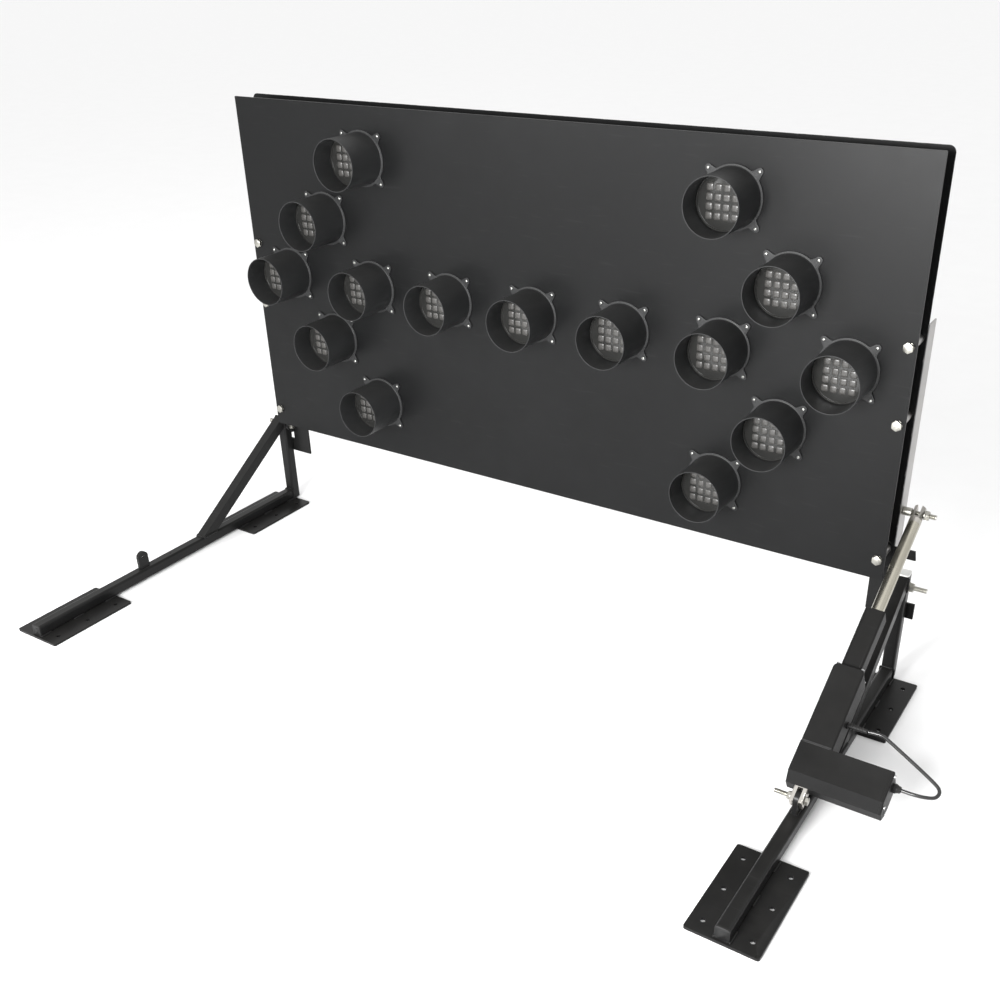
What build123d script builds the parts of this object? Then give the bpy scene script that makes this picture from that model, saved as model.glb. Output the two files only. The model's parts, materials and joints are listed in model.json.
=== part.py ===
"""Fold-down arrow board on two foot frames, raised by a linear actuator.

Units are millimetres and +Z is up.  The origin lies on the floor, at the centre of the rectangle
of the four outermost foot bolt holes.  +X is the side with the actuator, -Y is the side the lamps face.
"""
import os
from math import atan2, cos, degrees, hypot, pi, sin, tan, radians
from build123d import *

os.makedirs("parts", exist_ok=True)

# ---- board ----
board_width = 1524.0
board_height = 762.0
board_gap = 52.0
front_sheet = 3.0
back_sheet = 2.0
sheet_corner = 2.0
back_corner = 12.0
rail_inset_side = 36.0
rail_inset_end = 12.0
rail_flange = 20.0
rail_wall = 2.5
bolt_from_side = 14.0
bolt_heights = (447.0, 307.0, 40.0)
spacer_diameter = 18.0

# ---- lamps ----
lamp_row_height = 391.0
shaft_pitch = 206.0
tip_from_centre = 650.0
chevron_step_x = 118.0
chevron_step_z = 134.0
screw_pitch = 94.4
hood_diameter = 105.0
hood_wall = 2.0
hood_length = 92.0
flange_radius = 57.0
flange_thickness = 3.0
ear_radius = 6.5
lamp_screw_diameter = 4.0
cup_wall = 2.0
cup_clearance = 0.4
cup_behind_sheet = 30.0
lens_height = 36.0
lens_thickness = 4.0
lens_crown = 3.0
led_board_height = 20.0
led_board_thickness = 1.6

# ---- foot frames ----
frame_clearance = 15.5
plate_spacing = 583.0
plate_width = 122.0
plate_length = 203.0
plate_thickness = 5.0
plate_corner = 4.0
foot_hole_diameter = 9.0
foot_pitch_x = 80.0
foot_pitch_y = 75.0
tube_size = 25.0
tube_wall = 2.5
tube_corner = 2.0
tube_setback = 7.5
post_behind_plate = 107.0
post_top = 236.0
brace_foot_from_post = 311.5
cap_thickness = 3.0
weld_gap = 0.1

# ---- hinge ----
pivot_height = 210.0
pivot_behind_front = 44.0
board_lift = 24.0
pivot_diameter = 10.0
running_clearance = 0.05
hole_clearance = 0.25
bracket_thickness = 5.0
bracket_gap = 0.5
bracket_inset = 38.0
bracket_past_frame = 26.0
bracket_bottom = 134.0
notch_bottom = 167.0
notch_top = 259.0
tab_top = 278.0
tab_past_frame = 14.0
notch_from_board = 11.5
lug_thickness = 6.0
lug_side_gap = 4.0
lug_radius = 13.0
lug_bottom = 190.0
lug_top = 252.0
channel_width = 40.0
channel_depth = 42.0
channel_wall = 3.0
channel_bottom = 240.0
channel_top = 705.0

# ---- actuator ----
ear_from_plate = 196.0
ear_pin_height = 57.0
ear_width = 27.0
ear_thickness = 8.0
lower_pin_diameter = 8.0
lower_pin_inner_reach = 41.0
lower_pin_outer_reach = 18.0
stud_behind_front = 80.0
stud_height = 345.0
stud_diameter = 10.0
stud_gap = 0.4
stud_reach = 61.0
clevis_width = 23.0
clevis_slot_clearance = 0.5
housing_start = 16.0
housing_seam = 88.0
housing_half = 27.0
housing_chamfer = 16.0
housing_wall = 3.5
motor_split = 32.0
motor_end = 131.0
end_cap = 5.0
cover_end = 247.0
cover_round = 10.0
cover_edge = 4.0
tube_outer = 36.0
tube_inner = 29.0
tube_corner = 5.0
tube_end = 372.0
rod_diameter = 23.0
rod_bore = 14.5
rod_start = 312.0
fork_start = 578.0
fork_width = 22.0
fork_slot = 8.0
fork_reach = 13.0
screw_diameter = 12.0
screw_end = 352.0
wheel_diameter = 34.0
wheel_width = 12.0
wheel_middle = 54.0
motor_can_diameter = 40.0
cable_diameter = 6.0
gland_length = 13.0
gland_at = 73.0
boot_length = 33.0
boot_at = 154.0


def save(piece, name):
    """Label a finished piece and write it to its own STEP file."""
    piece.part.label = name
    export_step(piece.part, f"parts/{name}.step")


def hexagon_radius(across_flats):
    return across_flats / 3 ** 0.5


# ---- places worked out from the sizes above ----
board_side = board_width / 2
frame_x = board_side + frame_clearance + tube_size / 2
rear_plate_y = plate_spacing / 2
front_plate_y = -plate_spacing / 2
post_y = rear_plate_y + post_behind_plate
post_front = post_y - tube_size / 2
post_rear = post_y + tube_size / 2
tube_front = front_plate_y - plate_length / 2 + tube_setback
tube_top = plate_thickness + tube_size
front_face = post_y - pivot_behind_front
gap_front = front_face + front_sheet
gap_rear = gap_front + board_gap
back_face = gap_rear + back_sheet
board_bottom = pivot_height + board_lift
board_middle = board_bottom + board_height / 2
lamp_z = board_bottom + lamp_row_height
plate_front = max(back_face, post_rear + bracket_gap)
plate_rear = plate_front + bracket_thickness
bracket_inner = board_side - bracket_inset
bracket_outer = frame_x + bracket_past_frame
tab_outer = frame_x + tab_past_frame
notch_side = board_side + notch_from_board
channel_rear = plate_rear + channel_depth
sides = (("left", -1), ("right", 1))

shaft_lamps = [(step * shaft_pitch, 0.0) for step in (-2, -1, 0, 1, 2)]
head_lamps = [
    (way * (tip_from_centre - rank * chevron_step_x), row * rank * chevron_step_z)
    for way in (-1, 1)
    for rank in (0, 1, 2)
    for row in ((1, -1) if rank else (1,))
]
lamp_places = shaft_lamps + head_lamps
screw_offsets = [(a * screw_pitch / 2, b * screw_pitch / 2) for a in (-1, 1) for b in (-1, 1)]
board_bolts = [
    (side * (board_side - bolt_from_side), board_bottom + height)
    for side in (-1, 1)
    for height in bolt_heights
]
sheet_bolts = [(x, z - board_middle) for x, z in board_bolts]

# Sketches on this plane read X to the right and Z up, and extrude towards -Y.
board_plane = Plane(origin=(0, front_face, board_middle), x_dir=(1, 0, 0), z_dir=(0, -1, 0))
lamp_plane = Plane(origin=(0, front_face, lamp_z), x_dir=(1, 0, 0), z_dir=(0, -1, 0))
lamp_lift = lamp_z - board_middle
hood_radius = hood_diameter / 2
cup_radius = hood_radius - hood_wall - cup_clearance
lamp_opening = hood_radius - hood_wall

# =============================== foot frames ===============================

front_feet = []
rear_feet = []
for plates, centre_y in (("front_foot_plates", front_plate_y), ("rear_foot_plates", rear_plate_y)):
    with BuildPart() as feet:
        with BuildSketch():
            with Locations((-frame_x, centre_y), (frame_x, centre_y)):
                RectangleRounded(plate_width, plate_length, plate_corner)
                with GridLocations(foot_pitch_x, foot_pitch_y, 2, 3):
                    Circle(foot_hole_diameter / 2, mode=Mode.SUBTRACT)
        extrude(amount=plate_thickness)
    save(feet, plates)

brace_run = brace_foot_from_post
brace_rise = post_top - tube_top
brace_angle = atan2(brace_rise, brace_run)
brace_drop = tube_size / cos(brace_angle)
brace_heel = tube_size / sin(brace_angle)
wall_drop = tube_wall / cos(brace_angle)
ear_y = front_plate_y + ear_from_plate
brace_clear = weld_gap / sin(brace_angle)

for name, side in sides:
    x = side * frame_x

    # The base tube runs from the front plate to the post and lies on both plates.
    tube_length = post_front - weld_gap - tube_front
    with BuildPart() as base:
        with BuildSketch(Plane((x, tube_front, plate_thickness + tube_size / 2), x_dir=(1, 0, 0), z_dir=(0, 1, 0))):
            RectangleRounded(tube_size, tube_size, tube_corner)
            Rectangle(tube_size - 2 * tube_wall, tube_size - 2 * tube_wall, mode=Mode.SUBTRACT)
        extrude(amount=tube_length)
    save(base, f"{name}_base_tube")

    # The post stands on the rear plate, with the pivot bore through both walls.
    with BuildPart() as post:
        with BuildSketch(Plane.XY.offset(plate_thickness)):
            with Locations((x, post_y)):
                RectangleRounded(tube_size, tube_size, tube_corner)
                Rectangle(tube_size - 2 * tube_wall, tube_size - 2 * tube_wall, mode=Mode.SUBTRACT)
        extrude(amount=post_top - plate_thickness)
        with BuildSketch(Plane.YZ.offset(x - tube_size)):
            with Locations((post_y, pivot_height)):
                Circle(pivot_diameter / 2 + hole_clearance)
        extrude(amount=2 * tube_size, mode=Mode.SUBTRACT)
    save(post, f"{name}_post")

    # The brace is a square tube cut to lie flat on the base tube and against the post.
    foot_y = post_front - brace_run
    face_y = post_front - weld_gap
    foot_z = tube_top + weld_gap
    with BuildPart() as brace:
        with BuildSketch(Plane.YZ.offset(x - tube_size / 2)):
            Polygon(
                (foot_y, foot_z),
                (face_y, post_top),
                (face_y, post_top - brace_drop),
                (foot_y + brace_heel, foot_z),
                align=None,
            )
        extrude(amount=tube_size)
        with BuildSketch(Plane.YZ.offset(x - tube_size / 2 + tube_wall)):
            Polygon(
                (foot_y, foot_z - wall_drop),
                (face_y + tube_wall, post_top - wall_drop + tube_wall * tan(brace_angle)),
                (face_y + tube_wall, post_top - brace_drop + wall_drop + tube_wall * tan(brace_angle)),
                (foot_y, foot_z - brace_drop + wall_drop),
                align=None,
            )
        extrude(amount=tube_size - 2 * tube_wall, mode=Mode.SUBTRACT)
    save(brace, f"{name}_brace")

with BuildPart() as ears:
    for side in (-1, 1):
        with BuildSketch(Plane.YZ.offset(side * frame_x - ear_thickness / 2)):
            with Locations((ear_y, ear_pin_height)):
                Circle(ear_width / 2)
            with Locations((ear_y, (tube_top + ear_pin_height) / 2)):
                Rectangle(ear_width, ear_pin_height - tube_top)
            with Locations((ear_y, ear_pin_height)):
                Circle(lower_pin_diameter / 2 + running_clearance, mode=Mode.SUBTRACT)
        extrude(amount=ear_thickness)
save(ears, "actuator_ears")

with BuildPart() as caps:
    for side in (-1, 1):
        with BuildSketch(Plane.XY.offset(post_top)):
            with Locations((side * frame_x, post_y)):
                RectangleRounded(tube_size, tube_size, tube_corner)
        extrude(amount=cap_thickness)
        with BuildSketch(Plane.XZ.offset(-tube_front)):
            with Locations((side * frame_x, plate_thickness + tube_size / 2)):
                RectangleRounded(tube_size, tube_size, tube_corner)
        extrude(amount=cap_thickness)
save(caps, "tube_caps")

# =============================== board sheets and rails ===============================

with BuildPart() as front:
    with BuildSketch(board_plane):
        RectangleRounded(board_width, board_height, sheet_corner)
        with Locations(*sheet_bolts):
            Circle(pivot_diameter / 2 + hole_clearance, mode=Mode.SUBTRACT)
        for u, v in lamp_places:
            with Locations((u, v + lamp_lift)):
                Circle(lamp_opening, mode=Mode.SUBTRACT)
            with Locations(*[(u + a, v + b + lamp_lift) for a, b in screw_offsets]):
                Circle(lamp_screw_diameter / 2 + 0.1, mode=Mode.SUBTRACT)
    extrude(amount=-front_sheet)
save(front, "front_panel")

gland_x = 180.0
gland_z = board_bottom + 60.0
gland_bore = 12.5
with BuildPart() as back:
    with BuildSketch(board_plane.offset(-front_sheet - board_gap)):
        RectangleRounded(board_width, board_height, back_corner)
        with Locations(*sheet_bolts):
            Circle(pivot_diameter / 2 + hole_clearance, mode=Mode.SUBTRACT)
        with Locations((gland_x, gland_z - board_middle)):
            Circle(gland_bore / 2, mode=Mode.SUBTRACT)
    extrude(amount=-back_sheet)
save(back, "back_panel")

# Four channel rails keep the sheets apart, with their open side towards the middle of the board.
rail_x = board_side - rail_inset_side
rail_z = board_height / 2 - rail_inset_end
rail_depth = board_gap - 2 * weld_gap
with BuildPart() as rails:
    for way in (-1, 1):
        with BuildSketch(Plane.XY.offset(board_middle - rail_z)):
            with Locations((way * (rail_x - rail_flange / 2), gap_front + board_gap / 2)):
                Rectangle(rail_flange, rail_depth)
            with Locations((way * (rail_x - rail_flange / 2 - rail_wall), gap_front + board_gap / 2)):
                Rectangle(rail_flange, rail_depth - 2 * rail_wall, mode=Mode.SUBTRACT)
        extrude(amount=2 * rail_z)
        cross_length = 2 * (rail_x - rail_flange - weld_gap)
        with BuildSketch(Plane.YZ.offset(-cross_length / 2)):
            with Locations((gap_front + board_gap / 2, board_middle + way * (rail_z - rail_flange / 2))):
                Rectangle(rail_depth, rail_flange)
            with Locations((gap_front + board_gap / 2, board_middle + way * (rail_z - rail_flange / 2 - rail_wall))):
                Rectangle(rail_depth - 2 * rail_wall, rail_flange, mode=Mode.SUBTRACT)
        extrude(amount=cross_length)
save(rails, "frame_rails")

with BuildPart() as spacers:
    with BuildSketch(board_plane.offset(-front_sheet - weld_gap)):
        with Locations(*sheet_bolts):
            Circle(spacer_diameter / 2)
            Circle(pivot_diameter / 2 + hole_clearance, mode=Mode.SUBTRACT)
    extrude(amount=-(board_gap - 2 * weld_gap))
save(spacers, "spacer_tubes")

# The stack is clamped by hexagon bolts from the front, with nuts inside the side channels.
head_height = 6.4
head_flats = 17.0
nut_height = 8.0
nut_seat = plate_rear + channel_wall
with BuildPart() as bolts:
    with BuildSketch(board_plane):
        with Locations(*sheet_bolts):
            RegularPolygon(hexagon_radius(head_flats), 6)
    extrude(amount=head_height)
    with BuildSketch(board_plane):
        with Locations(*sheet_bolts):
            Circle(pivot_diameter / 2)
    extrude(amount=-(nut_seat + nut_height + 3.0 - front_face))
save(bolts, "channel_bolts")

with BuildPart() as nuts:
    with BuildSketch(board_plane.offset(-(nut_seat - front_face))):
        with Locations(*sheet_bolts):
            RegularPolygon(hexagon_radius(head_flats), 6)
            Circle(pivot_diameter / 2 + weld_gap, mode=Mode.SUBTRACT)
    extrude(amount=-nut_height)
save(nuts, "channel_nuts")

with BuildPart() as driver:
    with Locations((0, gap_rear - 15.2, board_bottom + 150.0)):
        Box(160.0, 30.0, 90.0)
    edges_to_round = driver.edges().filter_by(Axis.Y)
    fillet(edges_to_round, 6.0)
save(driver, "lamp_driver_box")

with BuildPart() as gland:
    with BuildSketch(board_plane.offset(-(back_face - front_face))):
        with Locations((gland_x, gland_z - board_middle)):
            RegularPolygon(hexagon_radius(18.0), 6)
    extrude(amount=-5.0)
    with BuildSketch(board_plane.offset(-(back_face - front_face))):
        with Locations((gland_x, gland_z - board_middle)):
            Circle(8.0)
    extrude(amount=-14.0)
    with BuildSketch(board_plane.offset(-(back_face - front_face))):
        with Locations((gland_x, gland_z - board_middle)):
            Circle(gland_bore / 2 - hole_clearance)
    extrude(amount=8.0)
    with BuildSketch(board_plane.offset(-(back_face - front_face) + 8.0)):
        with Locations((gland_x, gland_z - board_middle)):
            Circle(3.0)
    extrude(amount=-22.0, mode=Mode.SUBTRACT)
save(gland, "supply_gland")

# =============================== side channels and hinge brackets ===============================

for name, side in sides:
    channel_bolts_here = [place for place in board_bolts if place[0] * side > 0]
    channel_middle = side * (board_side - channel_width / 2)

    with BuildPart() as channel:
        with BuildSketch(Plane.XY.offset(channel_bottom)):
            with Locations((channel_middle, plate_rear + channel_depth / 2)):
                Rectangle(channel_width, channel_depth)
            with Locations((channel_middle, plate_rear + channel_depth / 2 + channel_wall)):
                Rectangle(channel_width - 2 * channel_wall, channel_depth, mode=Mode.SUBTRACT)
        extrude(amount=channel_top - channel_bottom)
        with BuildSketch(Plane.XZ.offset(-nut_seat)):
            with Locations(*channel_bolts_here):
                Circle(pivot_diameter / 2 + hole_clearance)
        extrude(amount=channel_wall * 2, mode=Mode.SUBTRACT)
    save(channel, f"{name}_side_channel")

    # The notched plate rests on the back of the post when the board stands up.  Its lug carries the pivot.
    strip_outer = board_side
    lug_inner = board_side + lug_side_gap
    with BuildPart() as bracket:
        with BuildSketch(Plane.XZ.offset(-plate_rear)):
            Polygon(
                (side * bracket_inner, bracket_bottom),
                (side * bracket_outer, bracket_bottom),
                (side * bracket_outer, notch_bottom),
                (side * notch_side, notch_bottom),
                (side * notch_side, notch_top),
                (side * tab_outer, notch_top),
                (side * (tab_outer - 3.0), tab_top),
                (side * strip_outer, tab_top),
                (side * strip_outer, channel_top),
                (side * (board_side - channel_width), channel_top),
                (side * (board_side - channel_width), tab_top),
                (side * bracket_inner, tab_top),
                align=None,
            )
            with Locations(*channel_bolts_here):
                Circle(pivot_diameter / 2 + hole_clearance, mode=Mode.SUBTRACT)
        extrude(amount=bracket_thickness)
        with BuildSketch(Plane.YZ.offset(side * (lug_inner + lug_thickness / 2))):
            with Locations((post_y, pivot_height)):
                Circle(lug_radius)
            with Locations(((post_y + plate_front) / 2, (lug_bottom + lug_top) / 2)):
                Rectangle(plate_front - post_y, lug_top - lug_bottom)
            with Locations((plate_front + lug_radius, pivot_height)):
                Rectangle(2 * lug_radius, 4 * lug_radius, mode=Mode.SUBTRACT)
            with Locations((post_y, pivot_height)):
                Circle(pivot_diameter / 2 + running_clearance, mode=Mode.SUBTRACT)
        extrude(amount=lug_thickness / 2, both=True)
    save(bracket, f"{name}_hinge_bracket")

pivot_washer = 2.0
pivot_nut = 8.0
pivot_end = 34.0
lug_face = board_side + lug_side_gap
with BuildPart() as pivots:
    for side in (-1, 1):
        inner_end = side * (lug_face - 0.3)
        outer_end = side * (frame_x + tube_size / 2 + pivot_end)
        with BuildSketch(Plane.YZ.offset(inner_end)):
            with Locations((post_y, pivot_height)):
                Circle(pivot_diameter / 2)
        extrude(amount=outer_end - inner_end)
        with BuildSketch(Plane.YZ.offset(inner_end)):
            with Locations((post_y, pivot_height)):
                RegularPolygon(hexagon_radius(head_flats), 6)
        extrude(amount=-side * head_height)
save(pivots, "pivot_bolts")

with BuildPart() as pivot_nuts:
    for side in (-1, 1):
        seat = side * (frame_x + tube_size / 2)
        with BuildSketch(Plane.YZ.offset(seat)):
            with Locations((post_y, pivot_height)):
                Circle(pivot_diameter)
                Circle(pivot_diameter / 2 + weld_gap, mode=Mode.SUBTRACT)
        extrude(amount=side * pivot_washer)
        with BuildSketch(Plane.YZ.offset(seat + side * pivot_washer)):
            with Locations((post_y, pivot_height)):
                RegularPolygon(hexagon_radius(head_flats), 6)
                Circle(pivot_diameter / 2 + weld_gap, mode=Mode.SUBTRACT)
        extrude(amount=side * pivot_nut)
save(pivot_nuts, "pivot_nuts")

# =============================== lamps ===============================

ear_reach = screw_pitch / 2 * 2 ** 0.5
for number, (u, v) in enumerate(lamp_places, start=1):
    with BuildPart() as hood:
        with BuildSketch(lamp_plane):
            with Locations((u, v)):
                Circle(flange_radius)
                with PolarLocations(ear_reach - ear_radius, 4, start_angle=45):
                    Trapezoid(4 * ear_radius, 2 * ear_radius, 60, rotation=-90)
            with Locations(*[(u + a, v + b) for a, b in screw_offsets]):
                Circle(ear_radius)
            with Locations((u, v)):
                Circle(lamp_opening, mode=Mode.SUBTRACT)
            with Locations(*[(u + a, v + b) for a, b in screw_offsets]):
                Circle(lamp_screw_diameter / 2 + 0.1, mode=Mode.SUBTRACT)
        extrude(amount=flange_thickness)
        with BuildSketch(lamp_plane):
            with Locations((u, v)):
                Circle(hood_radius)
                Circle(lamp_opening, mode=Mode.SUBTRACT)
        extrude(amount=hood_length)
    save(hood, f"lamp_hood_{number:02d}")

with BuildPart() as cups:
    with BuildSketch(lamp_plane.offset(-cup_behind_sheet)):
        with Locations(*lamp_places):
            Circle(cup_radius)
    extrude(amount=cup_behind_sheet + lens_height)
    with BuildSketch(lamp_plane.offset(cup_wall - cup_behind_sheet)):
        with Locations(*lamp_places):
            Circle(cup_radius - cup_wall)
    extrude(amount=cup_behind_sheet + lens_height, mode=Mode.SUBTRACT)
save(cups, "lamp_housings")

crown_radius = (cup_radius**2 + lens_crown**2) / (2 * lens_crown)
crown_half = lens_crown - crown_radius + (crown_radius**2 - cup_radius**2 / 4) ** 0.5
with BuildPart() as lenses:
    with BuildSketch(lamp_plane.offset(lens_height + weld_gap)):
        with Locations(*lamp_places):
            Circle(cup_radius)
    extrude(amount=lens_thickness)
    crown_plane = lamp_plane.offset(lens_height + weld_gap + lens_thickness)
    for u, v in lamp_places:
        middle = crown_plane.from_local_coords((u, v, 0))
        with BuildSketch(Plane(origin=middle, x_dir=(1, 0, 0), z_dir=(0, 0, -1))):
            with BuildLine():
                Line((0, 0), (cup_radius, 0))
                ThreePointArc((cup_radius, 0), (cup_radius / 2, crown_half), (0, lens_crown))
                Line((0, lens_crown), (0, 0))
            make_face()
        revolve(axis=Axis(middle, (0, 1, 0)))
save(lenses, "lamp_lenses")

with BuildPart() as led_boards:
    with BuildSketch(lamp_plane.offset(led_board_height)):
        with Locations(*lamp_places):
            Circle(cup_radius - cup_wall - cup_clearance)
    extrude(amount=led_board_thickness)
save(led_boards, "led_boards")

screw_places = [(u + a, v + b) for u, v in lamp_places for a, b in screw_offsets]
with BuildPart() as screws:
    with BuildSketch(lamp_plane.offset(flange_thickness)):
        with Locations(*screw_places):
            Circle(3.8)
    extrude(amount=2.4, taper=18)
    with BuildSketch(lamp_plane.offset(flange_thickness)):
        with Locations(*screw_places):
            Circle(lamp_screw_diameter / 2)
    extrude(amount=-(flange_thickness + front_sheet + 5.0))
save(screws, "hood_screws")

# =============================== actuator ===============================

stud_y = front_face + stud_behind_front
reach_y = stud_y - ear_y
reach_z = stud_height - ear_pin_height
pin_to_pin = hypot(reach_y, reach_z)
axis_y = reach_y / pin_to_pin
axis_z = reach_z / pin_to_pin
# Local X is the row's X, local Z runs from the lower pin to the upper stud, local -Y faces up and forward.
actuator_plane = Plane(origin=(frame_x, ear_y, ear_pin_height), x_dir=(1, 0, 0), z_dir=(0, axis_y, axis_z))
box_side = 2 * housing_half
room_start = housing_start + housing_chamfer + housing_wall
actuator_axis = Axis((0, 0, 0), (0, axis_y, axis_z))
# Sketches on the side plane read the distance along the actuator, then the height above its axis.
side_plane = Plane(origin=(frame_x, ear_y, ear_pin_height), x_dir=(0, axis_y, axis_z), z_dir=(1, 0, 0))
# Sketches on the top plane read X, then the distance along the actuator.
top_plane = Plane(origin=(frame_x, ear_y, ear_pin_height), x_dir=(1, 0, 0), z_dir=(0, -axis_z, axis_y))
wheel_centre = actuator_plane.from_local_coords((motor_split, 0, wheel_middle))
motor_plane = Plane(origin=wheel_centre, x_dir=(0, 1, 0), z_dir=(1, 0, 0))
cable_gland_place = actuator_plane.from_local_coords((motor_end + 2 * weld_gap, 2.0, gland_at))
gland_plane = Plane(origin=cable_gland_place, x_dir=(0, 1, 0), z_dir=(1, 0, 0))
boot_place = actuator_plane.from_local_coords((housing_half + weld_gap, 6.0, boot_at))
boot_plane = Plane(origin=boot_place, x_dir=(0, 1, 0), z_dir=(1, 0, 0))

with BuildPart() as housing:
    with BuildSketch(actuator_plane.offset(housing_start)):
        with Locations(((motor_end - end_cap - housing_half) / 2, 0)):
            Rectangle(motor_end - end_cap + housing_half, box_side)
    extrude(amount=housing_seam - housing_start)
    low_face = housing.faces().sort_by(actuator_axis)[0]
    chamfer(low_face.edges().filter_by(Axis.X), housing_chamfer)
    with BuildSketch(actuator_plane.offset(room_start)):
        Circle(wheel_diameter / 2 + 2.0)
        with Locations((motor_split / 2, 0)):
            Rectangle(motor_split, wheel_diameter + 4.0)
    extrude(amount=housing_seam - housing_wall - room_start, mode=Mode.SUBTRACT)
    with BuildSketch(motor_plane):
        Circle(motor_can_diameter / 2 + 0.3)
    extrude(amount=motor_end, mode=Mode.SUBTRACT)
    with BuildSketch(actuator_plane.offset(housing_seam - 2 * housing_wall)):
        Circle(screw_diameter / 2 + 0.3)
    extrude(amount=4 * housing_wall, mode=Mode.SUBTRACT)
save(housing, "gear_housing")

with BuildPart() as motor_cover:
    with BuildSketch(side_plane.offset(motor_end - end_cap + weld_gap)):
        Polygon(
            (housing_start + housing_chamfer, housing_half),
            (housing_seam, housing_half),
            (housing_seam, -housing_half),
            (housing_start + housing_chamfer, -housing_half),
            (housing_start, housing_chamfer - housing_half),
            (housing_start, housing_half - housing_chamfer),
            align=None,
        )
    extrude(amount=end_cap - weld_gap)
    end_face = motor_cover.faces().sort_by(Axis.X)[-1]
    fillet(end_face.edges(), 2.5)
save(motor_cover, "motor_cover")

with BuildPart() as motor:
    with BuildSketch(motor_plane.offset(1.0)):
        Circle(motor_can_diameter / 2)
    extrude(amount=motor_end - end_cap - motor_split - 4.0)
    with BuildSketch(motor_plane.offset(1.0)):
        Circle(4.0)
    extrude(amount=wheel_diameter / 2 + 0.8 - motor_split)
save(motor, "motor_unit")

with BuildPart() as cover:
    with BuildSketch(top_plane.offset(-housing_half)) as cover_outline:
        with Locations((0, (housing_seam + cover_end) / 2)):
            Rectangle(box_side, cover_end - housing_seam)
        fillet(cover_outline.vertices().group_by(Axis.Y)[-1], cover_round)
    extrude(amount=box_side)
    across_actuator = Axis((0, 0, 0), (0, -axis_z, axis_y))
    faces_across = cover.faces().sort_by(across_actuator)
    fillet(faces_across[-1].edges() + faces_across[0].edges(), cover_edge)
    with BuildSketch(actuator_plane.offset(housing_seam)):
        RectangleRounded(tube_outer + 2 * weld_gap, tube_outer + 2 * weld_gap, tube_corner + weld_gap)
    extrude(amount=cover_end - housing_seam, mode=Mode.SUBTRACT)
save(cover, "tube_cover")

with BuildPart() as outer:
    with BuildSketch(actuator_plane.offset(housing_seam + weld_gap)):
        RectangleRounded(tube_outer, tube_outer, tube_corner)
        Circle(tube_inner / 2, mode=Mode.SUBTRACT)
    extrude(amount=tube_end - housing_seam - weld_gap)
save(outer, "outer_tube")

seal_length = 10.0
with BuildPart() as seal:
    with BuildSketch(actuator_plane.offset(tube_end - seal_length)):
        Circle(tube_inner / 2 - 0.05)
        Circle(rod_diameter / 2 + running_clearance, mode=Mode.SUBTRACT)
    extrude(amount=seal_length + 0.1)
    with BuildSketch(actuator_plane.offset(tube_end + 0.1)):
        Circle(tube_outer / 2 - 1.5)
        Circle(rod_diameter / 2 + running_clearance, mode=Mode.SUBTRACT)
    extrude(amount=2.5, taper=20)
save(seal, "rod_seal")

ear_top_clear = ear_width / 2 + 1.2
slot_width = ear_thickness + 2 * clevis_slot_clearance
with BuildPart() as clevis:
    with BuildSketch(actuator_plane.offset(-lower_pin_diameter * 1.4)):
        RectangleRounded(clevis_width, clevis_width, 2.0)
    extrude(amount=housing_start + lower_pin_diameter * 1.4 - weld_gap)
    with BuildSketch(actuator_plane.offset(-2 * lower_pin_diameter)):
        Rectangle(slot_width, 2 * clevis_width)
    extrude(amount=2 * lower_pin_diameter + ear_top_clear, mode=Mode.SUBTRACT)
    with BuildSketch(Plane.YZ.offset(frame_x - clevis_width)):
        with Locations((ear_y, ear_pin_height)):
            Circle(lower_pin_diameter / 2 + running_clearance)
    extrude(amount=2 * clevis_width, mode=Mode.SUBTRACT)
save(clevis, "rear_clevis")

with BuildPart() as lower_pin:
    with BuildSketch(Plane.YZ.offset(frame_x - lower_pin_inner_reach)):
        with Locations((ear_y, ear_pin_height)):
            Circle(lower_pin_diameter / 2)
    extrude(amount=lower_pin_inner_reach + lower_pin_outer_reach)
    with BuildSketch(Plane.YZ.offset(frame_x + clevis_width / 2 + 0.6)):
        with Locations((ear_y, ear_pin_height)):
            RegularPolygon(hexagon_radius(13.0), 6)
    extrude(amount=5.5)
save(lower_pin, "lower_pivot_bolt")

with BuildPart() as screw:
    with BuildSketch(actuator_plane.offset(room_start + 1.0)):
        Circle(screw_diameter / 2)
    extrude(amount=screw_end - room_start - 1.0)
save(screw, "lead_screw")

with BuildPart() as wheel:
    with BuildSketch(actuator_plane.offset(wheel_middle - wheel_width / 2)):
        Circle(wheel_diameter / 2)
        Circle(screw_diameter / 2 + running_clearance, mode=Mode.SUBTRACT)
    extrude(amount=wheel_width)
save(wheel, "worm_wheel")

with BuildPart() as rod:
    with BuildSketch(actuator_plane.offset(rod_start)):
        Circle(rod_diameter / 2)
        Circle(rod_bore / 2, mode=Mode.SUBTRACT)
    extrude(amount=fork_start - rod_start - weld_gap)
save(rod, "rod_tube")

nut_length = 24.0
with BuildPart() as drive_nut:
    with BuildSketch(actuator_plane.offset(rod_start - nut_length - weld_gap)):
        Circle(tube_inner / 2 - 0.3)
        Circle(screw_diameter / 2 + 0.1, mode=Mode.SUBTRACT)
    extrude(amount=nut_length)
save(drive_nut, "drive_nut")

with BuildPart() as fork:
    with BuildSketch(actuator_plane.offset(fork_start)):
        Circle(rod_diameter / 2)
    extrude(amount=10.0)
    with BuildSketch(actuator_plane.offset(fork_start + 10.0)):
        Circle(fork_width / 2)
    extrude(amount=pin_to_pin + fork_reach - fork_start - 10.0)
    with BuildSketch(actuator_plane.offset(fork_start + 14.0)):
        Rectangle(fork_slot, 2 * fork_width)
    extrude(amount=pin_to_pin, mode=Mode.SUBTRACT)
    with BuildSketch(Plane.YZ.offset(frame_x - fork_width)):
        with Locations((stud_y, stud_height)):
            Circle(stud_diameter / 2 + running_clearance)
    extrude(amount=2 * fork_width, mode=Mode.SUBTRACT)
save(fork, "rod_fork")

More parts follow.
